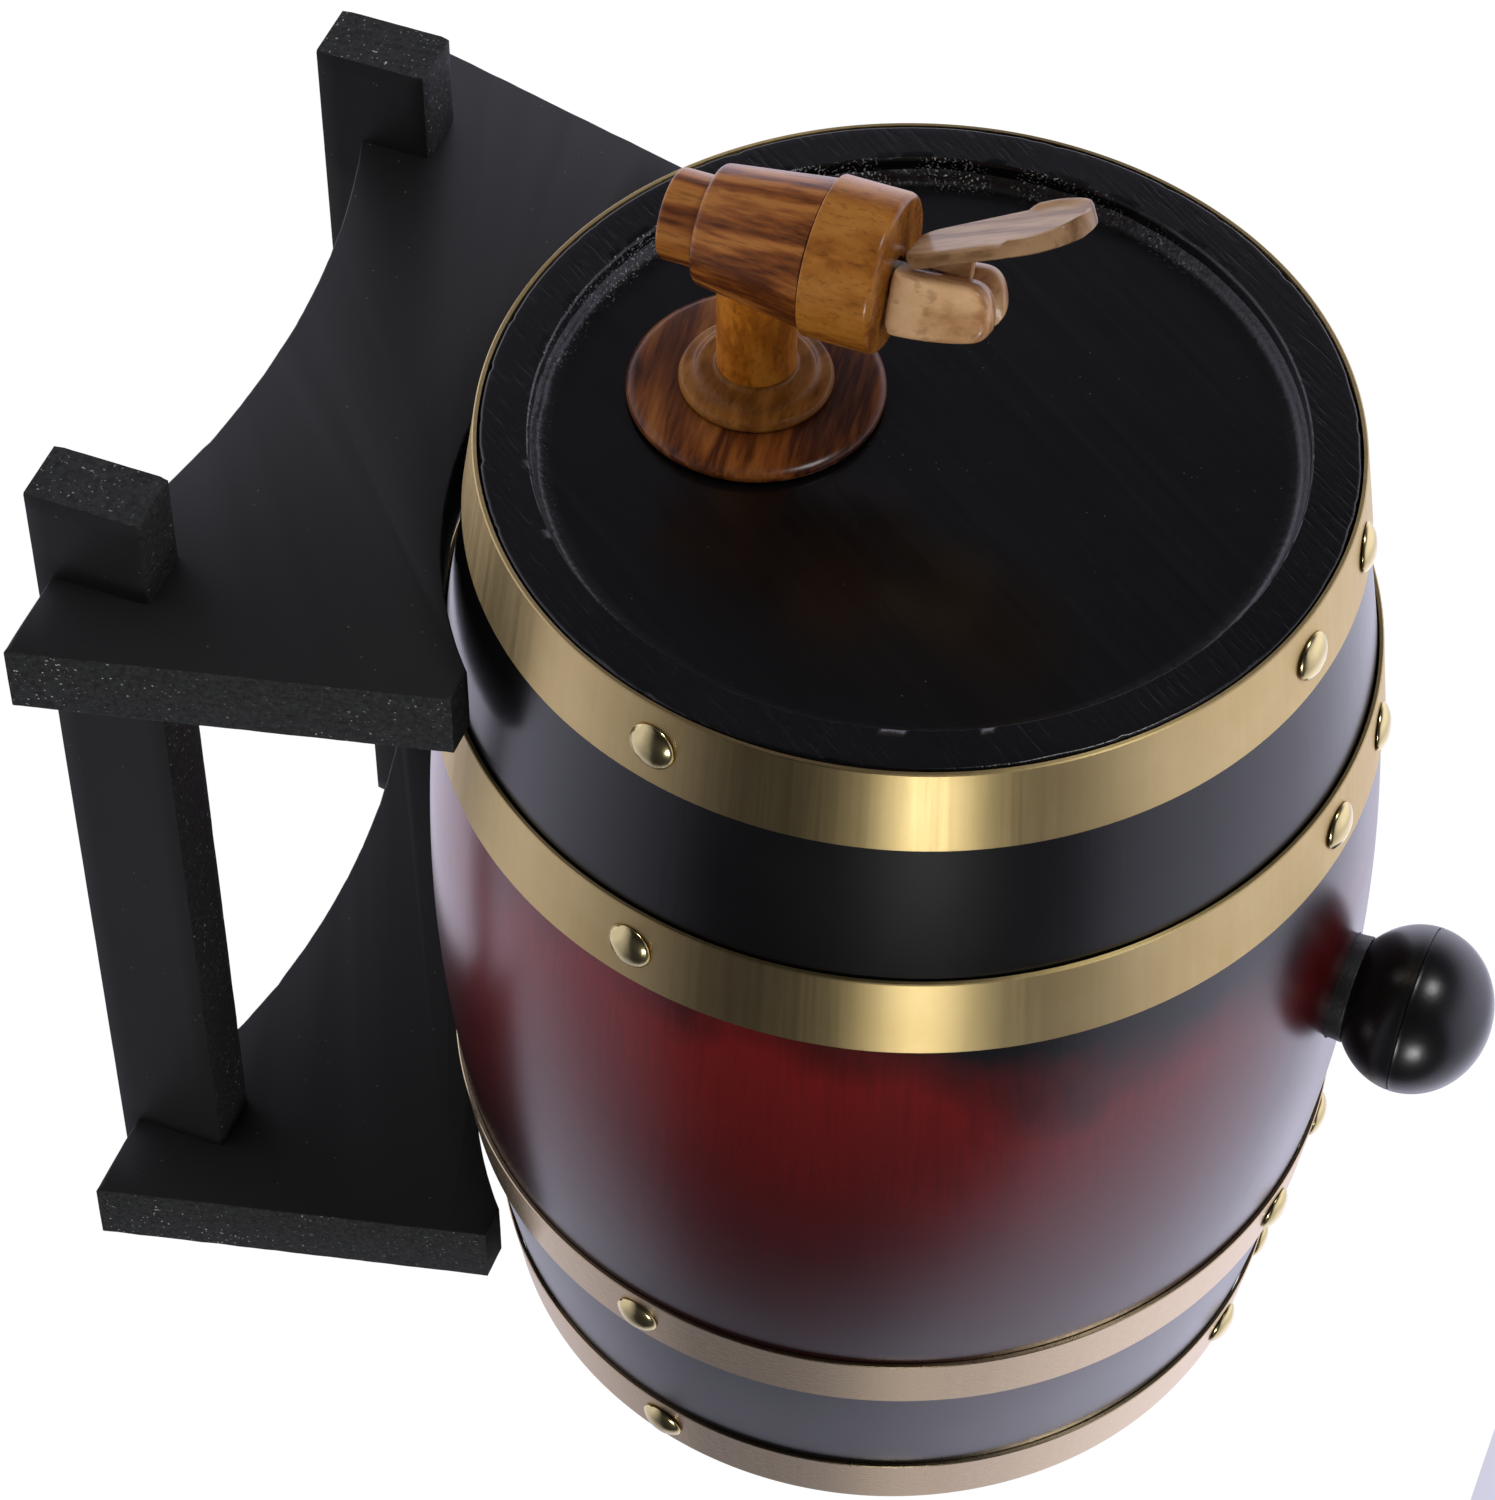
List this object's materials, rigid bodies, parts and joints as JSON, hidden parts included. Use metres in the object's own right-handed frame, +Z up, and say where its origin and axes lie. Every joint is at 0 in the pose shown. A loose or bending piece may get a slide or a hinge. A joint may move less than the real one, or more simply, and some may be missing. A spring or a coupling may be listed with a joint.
{
  "type": "wine barrel on stand",
  "caption": "Small lacquered wooden wine barrel with brass hoops, a bung and a push-lever tap, lying on its side in a cradle stand.",
  "frame": {"origin": "on the floor, under the middle of the stand: half-way between its plates and between its rails", "axes": "+Z up, the tap end faces -Y, +X is to the right for someone facing the tap"},
  "size_m": [0.198, 0.3098, 0.2846],
  "materials": {
    "sunburst_lacquer": "satin",
    "black_lacquer": "gloss",
    "hoop_brass": "brushed",
    "tack_brass": "polished",
    "stand_paint": "satin",
    "knob_black": "satin",
    "bung_rubber": "matte",
    "gasket_rubber": "matte",
    "walnut_print": "gloss",
    "amber_print": "gloss",
    "tan_print": "gloss",
    "black_plastic": "satin",
    "silicone": "matte",
    "pale_plastic": "satin",
    "pin_steel": "satin"
  },
  "bodies": {
    "stand": {"front_plate": "stand_paint", "rear_plate": "stand_paint", "left_rail": "stand_paint", "right_rail": "stand_paint"},
    "barrel": {"front_chime_hoop": "hoop_brass", "front_chime_tacks": "tack_brass", "front_head_board_1": "black_lacquer", "front_head_board_2": "black_lacquer", "front_head_board_3": "black_lacquer", "front_head_board_4": "black_lacquer", "front_quarter_hoop": "hoop_brass", "front_quarter_tacks": "tack_brass", "rear_chime_hoop": "hoop_brass", "rear_chime_tacks": "tack_brass", "rear_head_board_1": "black_lacquer", "rear_head_board_2": "black_lacquer", "rear_head_board_3": "black_lacquer", "rear_head_board_4": "black_lacquer", "rear_quarter_hoop": "hoop_brass", "rear_quarter_tacks": "tack_brass", "stave_01": "sunburst_lacquer", "stave_02": "sunburst_lacquer", "stave_03": "sunburst_lacquer", "stave_04": "sunburst_lacquer", "stave_05": "sunburst_lacquer", "stave_06": "sunburst_lacquer", "stave_07": "sunburst_lacquer", "stave_08": "sunburst_lacquer", "stave_09": "sunburst_lacquer", "stave_10": "sunburst_lacquer", "stave_11": "sunburst_lacquer", "stave_12": "sunburst_lacquer", "stave_13": "sunburst_lacquer", "stave_14": "sunburst_lacquer", "stave_15": "sunburst_lacquer", "stave_16": "sunburst_lacquer", "outer_gasket": "gasket_rubber", "escutcheon": "walnut_print", "tap_shank": "amber_print", "inner_gasket": "gasket_rubber", "back_nut": "black_plastic", "tap_body": "walnut_print", "bonnet": "amber_print", "seat_bellows": "silicone"},
    "bung": {"bung_knob": "knob_black", "bung_plug": "bung_rubber"},
    "tap_plug": {"valve_plug": "silicone"},
    "tap_stem": {"valve_stem": "pale_plastic", "lever_pin": "pin_steel"},
    "lever": {"tap_lever": "tan_print"}
  },
  "joints": [
    {"name": "barrel_lift", "type": "slide", "parent": "stand", "child": "barrel", "axis": [0, 0, 1], "range_m": [0, 0.12]},
    {"name": "bung_pull", "type": "slide", "parent": "barrel", "child": "bung", "axis": [0.0279, 0, 0.9996], "range_m": [0, 0.06]},
    {"name": "stem_lift", "type": "slide", "parent": "barrel", "child": "tap_plug", "axis": [0, 0, 1], "range_m": [0, 0.00227], "deforming": ["seat_bellows"]},
    {"name": "lever_swivel", "type": "hinge", "parent": "tap_plug", "child": "tap_stem", "pos_m": [-0.0025, -0.1627, 0.1532], "axis": [0, 0, 1], "continuous": true},
    {"name": "lever_tilt", "type": "hinge", "parent": "tap_stem", "child": "lever", "pos_m": [-0.0025, -0.1627, 0.1532], "axis": [-0.9272, 0.3746, 0], "range_deg": [0, 25], "stiffness_Nm_per_rad": 0.15, "springref_deg": -5.73}
  ],
  "couplings": [
    {"joint": "stem_lift", "follows": "lever_tilt", "m_per_rad": 0.0052}
  ]
}
